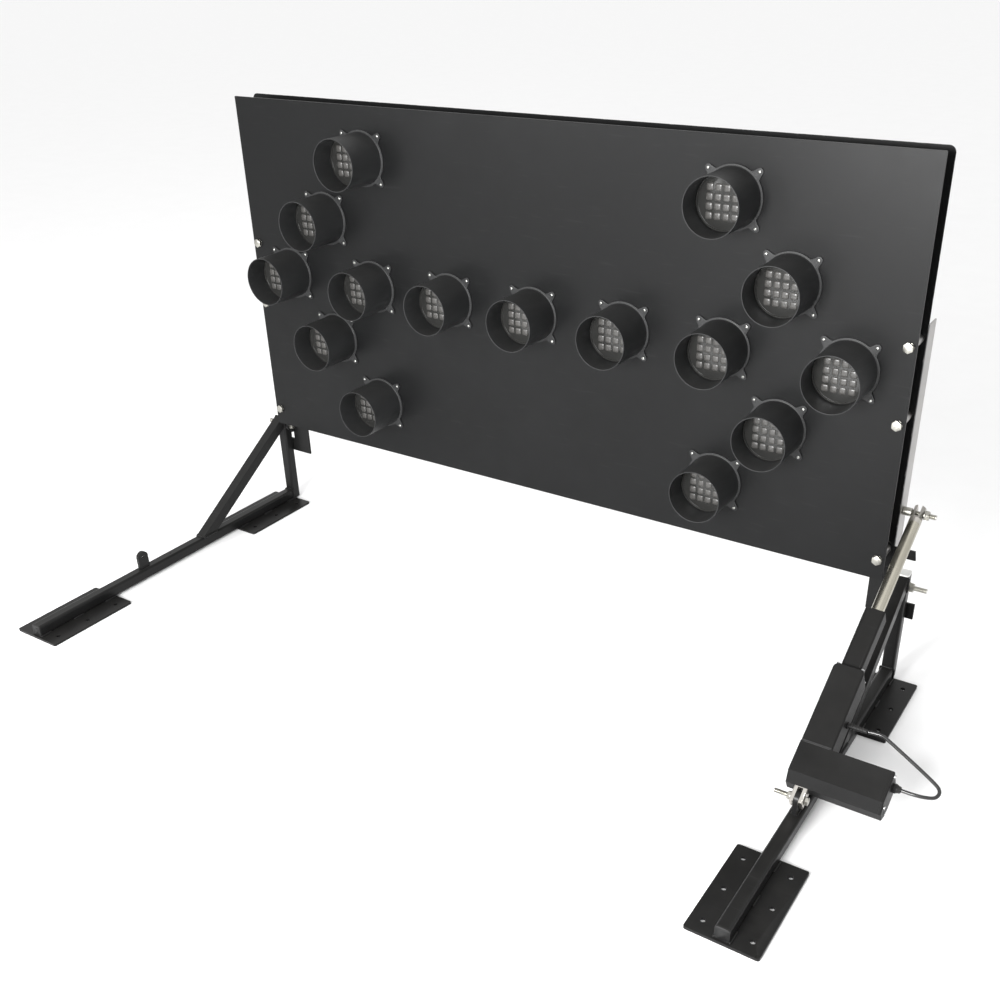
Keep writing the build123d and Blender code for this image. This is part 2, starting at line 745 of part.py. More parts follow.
# The stud stands a small gap off the channel's side, so that it can follow the rod past it.
stud_start = board_side + stud_gap
sleeve_end = frame_x - fork_width / 2 - 0.2
fork_face = frame_x + fork_width / 2
with BuildPart() as stud:
    with BuildSketch(Plane.YZ.offset(stud_start)):
        with Locations((stud_y, stud_height)):
            Circle(stud_diameter / 2)
    extrude(amount=stud_reach)
    with BuildSketch(Plane.YZ.offset(stud_start)):
        with Locations((stud_y, stud_height)):
            Circle(8.0)
    extrude(amount=sleeve_end - stud_start)
    with BuildSketch(Plane.YZ.offset(fork_face + 0.2)):
        with Locations((stud_y, stud_height)):
            Circle(9.0)
    extrude(amount=2.0)
    with BuildSketch(Plane.YZ.offset(fork_face + 2.2)):
        with Locations((stud_y, stud_height)):
            RegularPolygon(hexagon_radius(head_flats), 6)
    extrude(amount=7.0)
save(stud, "upper_stud")

# =============================== motor cable ===============================

# Route points in the actuator's own frame: X from its axis, distance along the axis, height above the axis.
cable_points = [
    (62.5, 154.0, -6.0),
    (82.0, 157.5, -5.0),
    (104.0, 147.5, -5.0),
    (186.0, 105.5, -4.0),
    (200.0, 94.5, -4.0),
    (197.5, 80.5, -4.0),
    (181.0, 75.0, -3.0),
    (162.5, 72.8, -2.0),
    (144.5, 73.0, -2.0),
]
route = [actuator_plane.from_local_coords((x, -height, along)) for x, along, height in cable_points]
runs = [route[i + 1] - route[i] for i in range(len(route) - 1)]
cable_radii = []
for before, after in zip(runs, runs[1:]):
    turn = radians(before.get_angle(after))
    cable_radii.append(0.45 * min(before.length, after.length) / tan(turn / 2))
print("cable runs", [round(run.length, 1) for run in runs])
print("cable turns", [round(a.get_angle(b), 1) for a, b in zip(runs, runs[1:])])
print("cable radii", [round(radius, 1) for radius in cable_radii])
with BuildPart() as cable:
    with BuildLine() as cable_path:
        FilletPolyline(*route, radius=cable_radii)
    cable_start = Plane(origin=cable_path.line @ 0, z_dir=cable_path.line % 0)
    with BuildSketch(cable_start):
        Circle(cable_diameter / 2)
    sweep()
save(cable, "motor_cable")
cable_length = cable_path.wire().length
print("cable length", round(cable_length, 1))
print("cable volume ratio", round(cable.part.volume / (cable_length * pi * (cable_diameter / 2) ** 2), 4))

with BuildPart() as cable_gland:
    with BuildSketch(gland_plane):
        RegularPolygon(hexagon_radius(15.0), 6)
    extrude(amount=6.0)
    with BuildSketch(gland_plane.offset(6.0)):
        Circle(6.5)
    extrude(amount=gland_length - 6.0, taper=14)
save(cable_gland, "cable_gland")

with BuildPart() as boot:
    with BuildSketch(boot_plane):
        Circle(7.0)
    extrude(amount=boot_length, taper=3.5)
save(boot, "cable_boot")

print("pin to pin", round(pin_to_pin, 2), "axis", round(axis_y, 5), round(axis_z, 5))
print("angle", round(degrees(atan2(reach_z, reach_y)), 3))
print("lower pin", ear_y, ear_pin_height, "pivot", post_y, pivot_height, "stud", stud_y, stud_height)
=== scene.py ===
"""Builds the looks of a fold-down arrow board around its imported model.

Every length is in metres.  +X is the side with the actuator, the lamps face -Y and +Z is up.
"""
import json
import math

import bmesh
import bpy
import numpy as np
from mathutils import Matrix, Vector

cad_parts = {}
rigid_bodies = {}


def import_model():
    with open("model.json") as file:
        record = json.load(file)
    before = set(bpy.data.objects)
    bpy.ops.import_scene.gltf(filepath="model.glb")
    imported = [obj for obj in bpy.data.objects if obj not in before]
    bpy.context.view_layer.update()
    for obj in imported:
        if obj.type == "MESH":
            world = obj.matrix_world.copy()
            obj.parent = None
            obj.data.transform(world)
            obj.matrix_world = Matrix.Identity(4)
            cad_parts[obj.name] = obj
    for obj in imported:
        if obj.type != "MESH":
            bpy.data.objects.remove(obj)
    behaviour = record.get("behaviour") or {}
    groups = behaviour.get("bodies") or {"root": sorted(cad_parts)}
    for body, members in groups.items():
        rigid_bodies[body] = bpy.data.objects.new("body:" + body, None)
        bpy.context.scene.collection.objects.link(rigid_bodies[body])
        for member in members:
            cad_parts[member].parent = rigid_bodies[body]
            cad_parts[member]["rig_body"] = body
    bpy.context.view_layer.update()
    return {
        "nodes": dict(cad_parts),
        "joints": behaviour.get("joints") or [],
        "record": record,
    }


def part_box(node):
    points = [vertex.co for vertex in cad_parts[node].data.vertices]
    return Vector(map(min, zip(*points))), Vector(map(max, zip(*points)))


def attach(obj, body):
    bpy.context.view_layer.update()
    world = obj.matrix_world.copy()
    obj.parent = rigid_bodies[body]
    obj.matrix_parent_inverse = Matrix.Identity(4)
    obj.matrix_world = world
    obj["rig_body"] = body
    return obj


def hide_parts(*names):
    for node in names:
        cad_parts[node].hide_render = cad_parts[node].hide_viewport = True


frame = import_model()

bl_info = {
    "name": "Fold-down arrow board",
    "version": (1, 0, 0),
    "blender": (4, 5, 0),
    "location": "3D View > Sidebar > Arrow board",
    "description": "Hoods, lenses, fasteners, welds, actuator and finishes of an arrow board",
    "category": "Object",
}

MM = 0.001
LAMP_COUNT = 15
SEAT_GAP = 0.2 * MM
# Distances from the middle plane that no packed box gives.
PIVOT_BOLT_START = 760.2 * MM
LUG_FACES = (765.6 * MM, 771.6 * MM)
# Where the lugs' weld beads run, at rest.
LUG_EDGE_Y = 411.2 * MM
LUG_BEAD_LOW, LUG_BEAD_HIGH = 193 * MM, 249 * MM
# Distances along the actuator's axis from its rear pivot, and from that axis across to the motor's end.
HOUSING_SEAM, COVER_END, TUBE_END = 88 * MM, 247 * MM, 372.2 * MM
MOTOR_END = 131 * MM
SIDES = (("left", -1), ("right", 1))
SLOT_OF = {row["node"]: row["material_slot"] for row in frame["record"]["subparts"]}


# ---------------------------------------------------------------- sizes and colours

def metres(name, description, default, least):
    """Setting for a length."""
    return bpy.props.FloatProperty(
        name=name, description=description, default=default, min=least, unit="LENGTH")


def tint(name, description, default):
    """Setting for a base colour."""
    return bpy.props.FloatVectorProperty(
        name=name, description=description, default=default, size=3, subtype="COLOR", min=0, max=1)


class LampSizes(bpy.types.PropertyGroup):
    """Sizes of the hoods, lenses and their screws."""

    hood_wall: metres("Hood wall", "Thickness of the hood's tube", 2.0 * MM, 0.0005)
    flange_height: metres(
        "Flange height", "Thickness of the flange that is screwed to the sheet", 3.0 * MM, 0.0005)
    ear_reach: metres("Ear reach", "Distance from the lamp's axis to a screw", 66.75 * MM, 0.02)
    ear_radius: metres("Ear radius", "Rounding of a flange ear around its screw", 6.4 * MM, 0.001)
    pillow_pitch: metres(
        "Lens cell pitch", "Distance between the square cells of a lens", 16.0 * MM, 0.004)
    pillow_half: metres("Lens cell half width", "Half the width of one square cell", 6.6 * MM, 0.001)
    pillow_rise: metres("Lens cell rise", "How far a cell stands out of the lens", 1.8 * MM, 0.0002)
    screw_radius: metres("Screw head radius", "Radius of a pan-head screw", 3.0 * MM, 0.001)


class SteelSizes(bpy.types.PropertyGroup):
    """Sizes of the bolts, welds and edge roundings."""

    bolt_radius: metres("Bolt radius", "Radius of the board and pivot bolts", 5.0 * MM, 0.001)
    bolt_flats: metres("Across flats", "Width of a bolt's head across its flats", 17.0 * MM, 0.004)
    thread_pitch: metres("Thread pitch", "Distance between two turns of a thread", 1.5 * MM, 0.0005)
    thread_depth: metres("Thread depth", "Depth of a thread's groove", 0.8 * MM, 0.0001)
    weld_radius: metres("Weld radius", "Half the width of a weld bead", 2.2 * MM, 0.0005)
    weld_ripple: metres("Weld ripple", "Distance between two ripples of a weld bead", 2.6 * MM, 0.0005)


class CableSizes(bpy.types.PropertyGroup):
    """Sizes of the motor cable."""

    diameter: metres("Cable diameter", "Outer diameter of the motor cable", 6.0 * MM, 0.001)
    length: metres("Cable length", "Length of the cable from boot to gland", 0.219, 0.05)


class Colours(bpy.types.PropertyGroup):
    """Base colours of the finishes."""

    sheet: tint("Board coat", "Coat of the front and back sheet", (0.0065, 0.0067, 0.0069))
    steel: tint("Frame coat", "Powder coat of the foot frames", (0.006, 0.006, 0.006))
    alloy: tint("Bare alloy", "Mill finish of the side channels", (0.42, 0.41, 0.40))
    hood: tint("Hood plastic", "Moulded plastic of the hoods", (0.012, 0.0123, 0.0126))
    lens: tint("Lens", "Smoky ground of a lens", (0.022, 0.022, 0.021))
    cell: tint("Lens cells", "Pale cells of a lens", (0.062, 0.060, 0.057))
    floor: tint("Floor", "Plain studio floor", (0.88, 0.88, 0.88))


# ---------------------------------------------------------------- surfaces

def unit(vector):
    """The vector scaled to length 1."""
    vector = np.asarray(vector, float)
    return vector / np.linalg.norm(vector)


def grid_mesh(points, wrap_rows, wrap_columns):
    """Quads over a grid of points; a wrapped direction joins its last line to its first."""
    rows, columns = points.shape[:2]
    row = np.arange(rows if wrap_rows else rows - 1)[:, None]
    column = np.arange(columns if wrap_columns else columns - 1)[None, :]
    next_row, next_column = (row + 1) % rows, (column + 1) % columns
    corners = [row * columns + column, next_row * columns + column,
               next_row * columns + next_column, row * columns + next_column]
    return points.reshape(-1, 3), np.stack(corners, -1).reshape(-1, 4)


def rounded_outline(corners, radii, closed=True, steps=4):
    """Each corner is cut back by its radius on both sides, and the cut is bridged by the
    quadratic curve that has the corner as its control point."""
    corners = np.array(corners, float)
    radii = np.array(radii, float)[:, None]
    before, after = np.roll(corners, 1, 0), np.roll(corners, -1, 0)
    if not closed:
        before[0], after[-1] = corners[0], corners[-1]
    to_before, to_after = before - corners, after - corners
    long_before = np.maximum(np.linalg.norm(to_before, axis=1, keepdims=True), 1e-9)
    long_after = np.maximum(np.linalg.norm(to_after, axis=1, keepdims=True), 1e-9)
    start = corners + to_before / long_before * np.minimum(radii, long_before * 0.5)
    end = corners + to_after / long_after * np.minimum(radii, long_after * 0.5)
    t = np.linspace(0, 1, steps + 1)[None, :, None]
    curve = (1 - t) ** 2 * start[:, None] + 2 * t * (1 - t) * corners[:, None] + t**2 * end[:, None]
    return curve.reshape(-1, 2)


def turned(profile, centre, axis, count=48, law=None, closed=False, across=None):
    """Profile turned about an axis: centre + height along the axis + radius outwards at each angle.
    A law may change radius and height with the angle."""
    axis = unit(axis)
    if across is None:
        across = (0, 0, 1) if abs(axis[2]) < 0.9 else (1, 0, 0)
    side = unit(np.cross(across, axis))
    other = np.cross(axis, side)
    angle = np.linspace(0, 2 * np.pi, count, endpoint=False)[None, :]
    radius, height = (np.array(profile, float)[:, k][:, None] + 0 * angle for k in (0, 1))
    if law:
        radius, height = law(angle + 0 * radius, radius, height)
    outward = np.cos(angle)[..., None] * side + np.sin(angle)[..., None] * other
    points = np.asarray(centre, float) + height[..., None] * axis + radius[..., None] * outward
    return grid_mesh(points, closed, True)


def repeated(shape, offsets):
    """The same shape at each offset, as one set of vertices and quads."""
    points, quads = shape
    offsets = np.asarray(offsets, float)
    places = points[None] + offsets[:, None]
    numbers = quads[None] + (np.arange(len(offsets)) * len(points))[:, None, None]
    return places.reshape(-1, 3), numbers.reshape(-1, 4)


def joined(shapes):
    """Several shapes as one set of vertices and quads."""
    starts = np.cumsum([0] + [len(points) for points, _ in shapes[:-1]])
    quads = [numbers + start for (_, numbers), start in zip(shapes, starts)]
    return np.concatenate([points for points, _ in shapes]), np.concatenate(quads)


def hex_law(flats, top):
    """Rows marked with radius 2 lie on the hexagon, radius 3 on the hexagon with their height
    dropped by the 30 degree chamfer cone; other rows stay round."""
    def law(angle, radius, height):
        turn = np.mod(angle + np.pi / 6, np.pi / 3) - np.pi / 6
        hexagon = flats / 2 / np.cos(turn)
        drop = (hexagon - 0.47 * flats) * 0.577
        height = np.where(radius == 3, height - np.sign(height - top / 2) * drop, height)
        return np.where(radius >= 2, hexagon, radius), height
    return law


def hex_block(centre, axis, flats, height, nut=False, across=None):
    """Hexagon prism between the chamfer cones: a bolt head, or a nut when both ends are cut."""
    round_face = 0.47 * flats
    low = [(round_face, 0.0), (3, 0.0)] if nut else [(2, 0.0)]
    profile = [(0, 0.0)] + low + [(3, height), (round_face, height), (0, height)]
    return turned(profile, centre, axis, 48, hex_law(flats, height), across=across)


def threaded(centre, axis, radius, length, pitch, depth):
    """Rod whose radius falls and rises as a triangle wave of height over pitch minus turn."""
    rows = int(length / pitch * 6)
    heights = np.linspace(0, length, rows + 1)
    profile = [(0, 0)] + [(radius, h) for h in heights] + [(0, length)]

    def law(angle, r, h):
        wave = np.abs(np.mod(h / pitch - angle / (2 * np.pi), 1.0) * 2 - 1)
        taper = np.clip(np.minimum(h, length - h) / pitch, 0, 1)
        return np.where(r > 0, r - depth * wave * taper - 0.12 * radius * (1 - taper), 0), h
    return turned(profile, centre, axis, 24, law)


def washer(centre, axis, inner, outer, height):
    """Flat ring with rounded edges."""
    edge = height * 0.3
    corners = [(inner, 0), (outer, 0), (outer, height), (inner, height)]
    return turned(rounded_outline(corners, [edge] * 4, steps=2), centre, axis, 48, closed=True)


def bead(start, end, radius, ripple):
    """Straight weld bead: a round section whose radius swells at each ripple and closes at both ends."""
    start, end = np.array(start, float), np.array(end, float)
    length = np.linalg.norm(end - start)
    rows = max(int(length / ripple * 4), 12)
    along = np.linspace(0, 1, rows + 1)
    body = np.sqrt(np.clip(1 - np.abs(2 * along - 1) ** 10, 0, 1))
    swell = 1 + 0.13 * np.abs(np.sin(np.pi * along * length / ripple))
    profile = np.stack([radius * body * swell, along * length], 1)
    return turned(profile, start, end - start, 12)


def fill_mesh(name, shape):
    """New mesh from vertices and quads, its doubles merged and its faces turned outwards."""
    points, quads = shape
    mesh = bpy.data.meshes.new(name)
    mesh.vertices.add(len(points))
    mesh.vertices.foreach_set("co", points.astype(np.float32).ravel())
    mesh.loops.add(quads.size)
    mesh.loops.foreach_set("vertex_index", quads.astype(np.int32).ravel())
    mesh.polygons.add(len(quads))
    mesh.polygons.foreach_set("loop_start", np.arange(0, quads.size, 4, dtype=np.int32))
    mesh.update(calc_edges=True)
    work = bmesh.new()
    work.from_mesh(mesh)
    bmesh.ops.remove_doubles(work, verts=work.verts, dist=2e-6)
    bmesh.ops.dissolve_degenerate(work, edges=work.edges, dist=1e-7)
    bmesh.ops.recalc_face_normals(work, faces=work.faces)
    work.to_mesh(mesh)
    work.free()
    return mesh


def place(name, mesh, body, material, replaced=(), sharp=40.0):
    """Puts a finished mesh in the scene as one piece of the object."""
    piece = bpy.data.objects.new(name, mesh)
    bpy.context.scene.collection.objects.link(piece)
    mesh.shade_smooth()
    mesh.set_sharp_from_angle(angle=math.radians(sharp))
    mesh.materials.clear()
    mesh.materials.append(material)
    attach(piece, body)
    if replaced:
        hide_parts(*replaced)
    return piece


def rounded_copy(node, name, width, material, heights=(-1.0, 9.0), sharp=60.0):
    """Copy of a carried node with its flat faces merged and its long hard edges rounded.  Only what
    lies between the two heights is kept.  The attribute worn_edge is 1 along the middle of each
    rounding, for the wear of the coat."""
    mesh = frame["nodes"][node].data.copy()
    mesh.name = name
    work = bmesh.new()
    work.from_mesh(mesh)
    bmesh.ops.remove_doubles(work, verts=work.verts, dist=2e-6)
    outside = [vertex for vertex in work.verts if not heights[0] < vertex.co.z < heights[1]]
    bmesh.ops.delete(work, geom=outside, context="VERTS")
    bmesh.ops.dissolve_limit(work, angle_limit=math.radians(0.6), verts=work.verts, edges=work.edges)
    hard = [edge for edge in work.edges
            if len(edge.link_faces) == 2 and edge.calc_length() > 2.5 * width
            and edge.calc_face_angle() > math.radians(28)]
    made = bmesh.ops.bevel(work, geom=hard, offset=width, offset_type="OFFSET", segments=3,
                           profile=0.5, affect="EDGES", clamp_overlap=True)
    rounding = set(made["faces"])
    layer = work.verts.layers.float.new("worn_edge")
    for vertex in {corner for face in rounding for corner in face.verts}:
        vertex[layer] = float(all(face in rounding for face in vertex.link_faces))
    work.to_mesh(mesh)
    work.free()
    piece = place(name, mesh, frame["nodes"][node]["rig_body"], material, [node], sharp)
    weigh = piece.modifiers.new("even_shading", "WEIGHTED_NORMAL")
    weigh.keep_sharp = True
    return piece


# ---------------------------------------------------------------- finishes

def wire(tree, kind, inputs=None, **settings):
    """Adds a node, sets its options, and fills its inputs with values or with other sockets."""
    part = tree.nodes.new(kind)
    for key, value in settings.items():
        setattr(part, key, value)
    for key, value in (inputs or {}).items():
        if isinstance(value, bpy.types.NodeSocket):
            tree.links.new(value, part.inputs[key])
        else:
            part.inputs[key].default_value = value
    return part


def blended(tree, amount, first, second):
    """Colour that goes from the first to the second with the amount."""
    first = first if isinstance(first, bpy.types.NodeSocket) else (*first, 1)
    second = second if isinstance(second, bpy.types.NodeSocket) else (*second, 1)
    mix = wire(tree, "ShaderNodeMix", {0: amount, 6: first, 7: second}, data_type="RGBA")
    return mix.outputs[2]


def ranged(tree, value, low, high, start=0.0, end=1.0):
    """Value carried from one range to another and kept inside it."""
    part = wire(tree, "ShaderNodeMapRange", {0: value, 1: start, 2: end, 3: low, 4: high})
    return part.outputs[0]


def shader_group(name, inputs, outputs):
    """Empty node group with its named sockets, and its input and output nodes."""
    group = bpy.data.node_groups.new(name, "ShaderNodeTree")
    for label, kind in inputs:
        group.interface.new_socket(label, in_out="INPUT", socket_type=kind)
    for label in outputs:
        group.interface.new_socket(label, in_out="OUTPUT", socket_type="NodeSocketFloat")
    return group, group.nodes.new("NodeGroupInput"), group.nodes.new("NodeGroupOutput")


def build_grain_group():
    """Fine grain and slow cloudiness of a surface, from two noises at different scales."""
    group, source, result = shader_group(
        "surface_grain",
        [("Vector", "NodeSocketVector"), ("Stretch", "NodeSocketVector"), ("Scale", "NodeSocketFloat")],
        ["Height", "Cloud"])
    given = source.outputs
    mapped = wire(group, "ShaderNodeMapping", {"Vector": given["Vector"], "Scale": given["Stretch"]})
    fine = wire(group, "ShaderNodeTexNoise",
                {"Vector": mapped.outputs[0], "Scale": given["Scale"], "Detail": 3.0, "Roughness": 0.55})
    slow = wire(group, "ShaderNodeTexNoise",
                {"Vector": given["Vector"], "Scale": 7.0, "Detail": 4.0, "Roughness": 0.6})
    group.links.new(fine.outputs[0], result.inputs["Height"])
    group.links.new(ranged(group, slow.outputs[0], 0.0, 1.0, 0.3, 0.7), result.inputs["Cloud"])
    return group


def build_wear_group():
    """Masks of a used coat: bare metal along rounded edges, fine scuffs, and dust on what faces up."""
    group, source, result = shader_group(
        "wear_and_dust",
        [("Vector", "NodeSocketVector"), ("Edge", "NodeSocketFloat"), ("Amount", "NodeSocketFloat")],
        ["Bare", "Scuff", "Dust"])
    given = source.outputs
    patches = wire(group, "ShaderNodeTexNoise", {"Vector": given["Vector"], "Scale": 60.0, "Detail": 5.0})
    near = wire(group, "ShaderNodeMath", {0: given["Edge"], 1: given["Amount"]}, operation="MULTIPLY")
    level = wire(group, "ShaderNodeMath", {0: near.outputs[0], 1: patches.outputs[0]}, operation="MULTIPLY")
    group.links.new(ranged(group, level.outputs[0], 0.0, 1.0, 0.40, 0.52), result.inputs["Bare"])
    long = wire(group, "ShaderNodeMapping", {"Vector": given["Vector"], "Scale": (14.0, 220.0, 160.0),
                                             "Rotation": (0.3, 0.5, 0.7)})
    streaks = wire(group, "ShaderNodeTexNoise", {"Vector": long.outputs[0], "Scale": 1.0, "Detail": 2.0})
    group.links.new(ranged(group, streaks.outputs[0], 0.0, 1.0, 0.64, 0.78), result.inputs["Scuff"])
    normal = wire(group, "ShaderNodeNewGeometry").outputs["Normal"]
    facing = wire(group, "ShaderNodeSeparateXYZ", {0: normal})
    cover = wire(group, "ShaderNodeTexNoise", {"Vector": given["Vector"], "Scale": 25.0, "Detail": 6.0})
    upward = ranged(group, facing.outputs[2], 0.0, 1.0, 0.3, 1.0)
    dust = wire(group, "ShaderNodeMath", {0: upward, 1: cover.outputs[0]}, operation="MULTIPLY")
    group.links.new(dust.outputs[0], result.inputs["Dust"])
    return group


def finish_material(name, colour, shade, rough, spread=0.08, metallic=0.0, scale=900.0,
                    stretch=(1, 1, 1), depth=0.05, wear=0.0, bare=(0.45, 0.45, 0.44), scuff=0.0,
                    scuff_colour=(0.2, 0.2, 0.2), dust=0.0, dust_colour=(0.35, 0.33, 0.30), sockets=None):
    """Material of one finish: clouded colour, grain bump, edge wear, scuffs and dust."""
    material = bpy.data.materials.new(name)
    material.use_nodes = True
    tree = material.node_tree
    tree.nodes.clear()
    place_on = wire(tree, "ShaderNodeTexCoord").outputs["Object"]
    grain = wire(tree, "ShaderNodeGroup", node_tree=bpy.data.node_groups["surface_grain"])
    grain.inputs["Stretch"].default_value = stretch
    grain.inputs["Scale"].default_value = scale
    tree.links.new(place_on, grain.inputs["Vector"])
    tone = blended(tree, grain.outputs["Cloud"], colour, shade)
    shell = wire(tree, "ShaderNodeBsdfPrincipled", {"Metallic": metallic})
    for key, value in (sockets or {}).items():
        shell.inputs[key].default_value = value
    rough_now = ranged(tree, grain.outputs["Cloud"], rough - spread, rough + spread)
    if wear or scuff or dust:
        edge = wire(tree, "ShaderNodeAttribute", attribute_name="worn_edge").outputs["Fac"]
        masks = wire(tree, "ShaderNodeGroup", {}, node_tree=bpy.data.node_groups["wear_and_dust"])
        tree.links.new(place_on, masks.inputs["Vector"])
        tree.links.new(edge, masks.inputs["Edge"])
        masks.inputs["Amount"].default_value = wear
        if scuff:
            part = wire(tree, "ShaderNodeMath", {0: masks.outputs["Scuff"], 1: scuff}, operation="MULTIPLY")
            tone = blended(tree, part.outputs[0], tone, scuff_colour)
        if dust:
            part = wire(tree, "ShaderNodeMath", {0: masks.outputs["Dust"], 1: dust}, operation="MULTIPLY")
            tone = blended(tree, part.outputs[0], tone, dust_colour)
        if wear:
            tone = blended(tree, masks.outputs["Bare"], tone, bare)
            tree.links.new(masks.outputs["Bare"], shell.inputs["Metallic"])
    tree.links.new(tone, shell.inputs["Base Color"])
    tree.links.new(rough_now, shell.inputs["Roughness"])
    bump = wire(tree, "ShaderNodeBump", {"Strength": 1.0, "Distance": depth * MM,
                                         "Height": grain.outputs["Height"]})
    tree.links.new(bump.outputs[0], shell.inputs["Normal"])
    output = wire(tree, "ShaderNodeOutputMaterial")
    tree.links.new(shell.outputs[0], output.inputs[0])
    return material


def darker(colour, share):
    """The colour with each channel times the share."""
    return tuple(channel * share for channel in colour)


def build_finishes():
    """All the finishes of the board, by name."""
    build_grain_group()
    build_wear_group()
    chosen = bpy.context.scene.arrow_colours
    sheet, steel, alloy = tuple(chosen.sheet), tuple(chosen.steel), tuple(chosen.alloy)
    hood, lens, cell = tuple(chosen.hood), tuple(chosen.lens), tuple(chosen.cell)
    zinc = (0.46, 0.45, 0.41)
    return {
        "board_coat": finish_material(
            "board_coat", sheet, darker(sheet, 0.70), 0.36, 0.05, scale=1500, depth=0.03, wear=0.8,
            bare=(0.60, 0.60, 0.59), scuff=0.07, scuff_colour=(0.06, 0.06, 0.062), dust=0.06,
            sockets={"Specular IOR Level": 0.14}),
        "frame_coat": finish_material(
            "frame_coat", steel, darker(steel, 1.5), 0.34, 0.08, scale=1100, depth=0.06, wear=0.62,
            scuff=0.12, scuff_colour=(0.05, 0.05, 0.05), dust=0.02, sockets={"Specular IOR Level": 0.15}),
        "hood_plastic": finish_material(
            "hood_plastic", hood, darker(hood, 1.4), 0.50, 0.07, scale=1700, depth=0.04,
            scuff=0.08, scuff_colour=(0.04, 0.04, 0.04), dust=0.03, sockets={"Specular IOR Level": 0.3}),
        "lens_ground": finish_material(
            "lens_ground", lens, darker(lens, 0.7), 0.16, 0.05, scale=300, depth=0.02,
            dust=0.06, sockets={"Coat Weight": 0.15, "Coat Roughness": 0.12, "Specular IOR Level": 0.3}),
        "lens_cell": finish_material(
            "lens_cell", cell, darker(cell, 0.72), 0.28, 0.06, scale=500, depth=0.03,
            sockets={"Coat Weight": 0.15, "Coat Roughness": 0.12, "Specular IOR Level": 0.35}),
        "mill_alloy": finish_material(
            "mill_alloy", alloy, darker(alloy, 0.82), 0.36, 0.07, metallic=1.0, scale=1.0,
            stretch=(2600, 2600, 40), depth=0.02),
        "zinc_plate": finish_material(
            "zinc_plate", zinc, darker(zinc, 0.70), 0.32, 0.08, metallic=1.0, scale=1400, depth=0.02),
        "cast_nickel": finish_material(
            "cast_nickel", (0.58, 0.56, 0.52), (0.40, 0.38, 0.35), 0.36, 0.09, metallic=1.0,
            scale=1300, depth=0.09),
        "satin_rod": finish_material(
            "satin_rod", (0.50, 0.48, 0.41), (0.40, 0.38, 0.32), 0.24, 0.06, metallic=1.0,
            scale=1.0, stretch=(300, 2400, 2400), depth=0.012),
        "machined_steel": finish_material(
            "machined_steel", (0.50, 0.50, 0.50), (0.38, 0.38, 0.38), 0.30, 0.08, metallic=1.0,
            scale=1800, depth=0.03),
        "actuator_coat": finish_material(
            "actuator_coat", (0.006, 0.006, 0.006), (0.010, 0.010, 0.010), 0.44, 0.06,
            scale=1300, depth=0.10, wear=0.4, scuff=0.06, scuff_colour=(0.04, 0.04, 0.04), dust=0.02,
            sockets={"Specular IOR Level": 0.1}),
        "black_rubber": finish_material(
            "black_rubber", (0.007, 0.007, 0.007), (0.012, 0.012, 0.012), 0.50, 0.08,
            scale=1600, depth=0.05, dust=0.03, sockets={"Specular IOR Level": 0.25}),
        "cable_jacket": finish_material(
            "cable_jacket", (0.010, 0.010, 0.010), (0.016, 0.016, 0.016), 0.22, 0.06,
            scale=900, depth=0.02),
        "screw_steel": finish_material(
            "screw_steel", (0.62, 0.62, 0.60), (0.48, 0.48, 0.46), 0.34, 0.08, metallic=1.0,
            scale=1400, depth=0.03),
        "pale_cap": finish_material(
            "pale_cap", (0.78, 0.78, 0.76), (0.66, 0.66, 0.63), 0.42, 0.06, scale=900, depth=0.05,
            scuff=0.2, scuff_colour=(0.4, 0.4, 0.38)),
        "cream_gear": finish_material(
            "cream_gear", (0.74, 0.70, 0.56), (0.62, 0.58, 0.45), 0.40, 0.05, scale=900, depth=0.04),
        "circuit_board": finish_material(
            "circuit_board", (0.62, 0.60, 0.52), (0.50, 0.48, 0.40), 0.35, 0.05, scale=600, depth=0.04),
    }


FINISH_OF_SLOT = {
    "frame_paint": "frame_coat", "board_paint": "board_coat", "bare_alloy": "mill_alloy",
    "hood_plastic": "hood_plastic", "housing_plastic": "hood_plastic", "lens_clear": "lens_ground",
    "circuit_board": "circuit_board", "zinc_fasteners": "zinc_plate", "end_caps": "pale_cap",
    "actuator_black": "actuator_coat", "motor_steel": "machined_steel", "nickel_cast": "cast_nickel",
    "rod_steel": "satin_rod", "wheel_plastic": "cream_gear", "black_rubber": "black_rubber",
    "gland_plastic": "black_rubber",
}
finishes = {}


def middle(node):
    """Centre of a carried node's box."""
    low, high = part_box(node)
    return (np.array(low) + np.array(high)) / 2


# ---------------------------------------------------------------- operators

class ARROW_OT_finishes(bpy.types.Operator):
    """Give every carried node the procedural finish of its material slot"""

    bl_idname = "arrow.finishes"
    bl_label = "Finishes"

    def execute(self, context):
        finishes.update(build_finishes())
        for node, item in frame["nodes"].items():
            item.data.materials.clear()
            item.data.materials.append(finishes[FINISH_OF_SLOT[SLOT_OF[node]]])
            item.data.shade_smooth()
            item.data.set_sharp_from_angle(angle=math.radians(35))
        return {"FINISHED"}


